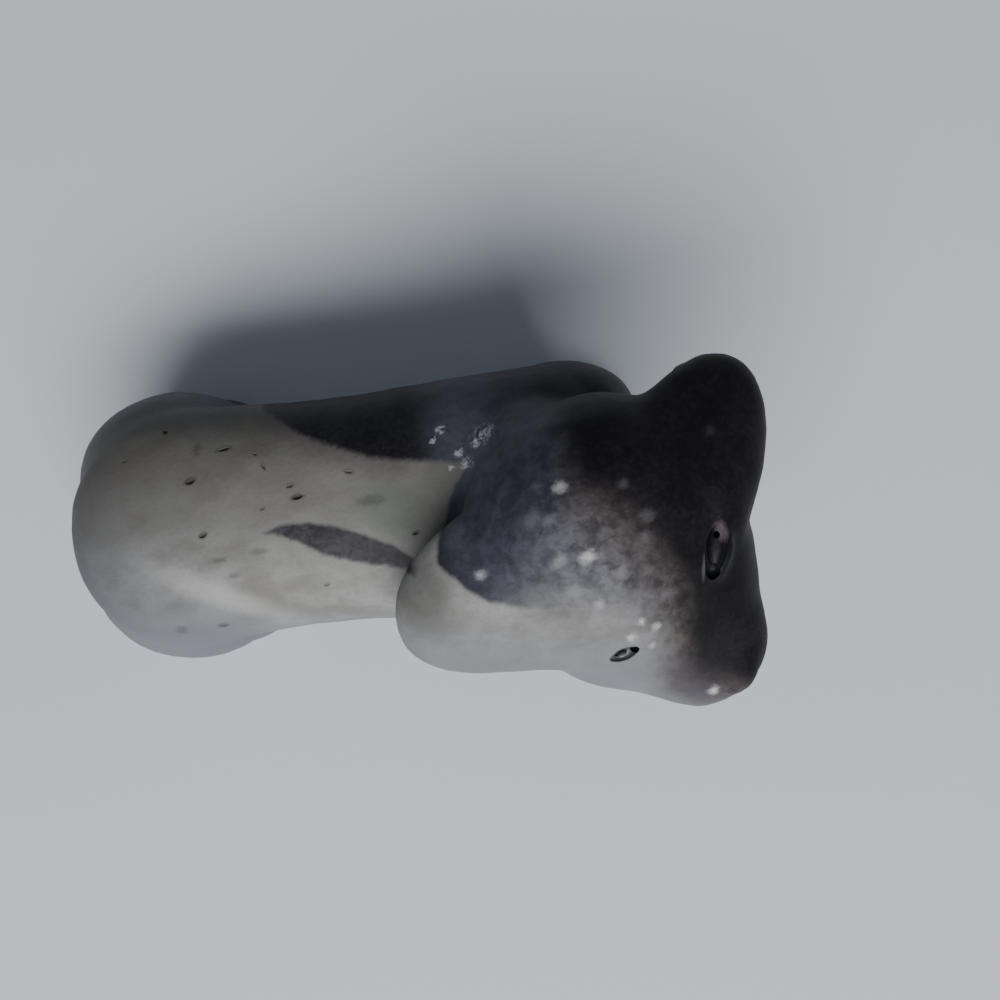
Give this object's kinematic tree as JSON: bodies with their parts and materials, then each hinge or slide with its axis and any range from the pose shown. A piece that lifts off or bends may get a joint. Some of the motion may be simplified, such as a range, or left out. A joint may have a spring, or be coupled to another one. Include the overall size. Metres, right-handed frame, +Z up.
{
  "type": "figurine",
  "caption": "Small carved soapstone dog standing on short legs, its broad wedge-shaped head with drooping ears turned to its right.",
  "frame": {"origin": "on the floor, under the middle of the figure's bounding box", "axes": "+X towards the dog's front, +Y to the dog's left, +Z up"},
  "size_m": [0.0644, 0.031, 0.04],
  "materials": {
    "soapstone": "satin"
  },
  "bodies": {
    "root": {"dog_figurine": "soapstone"}
  },
  "joints": []
}
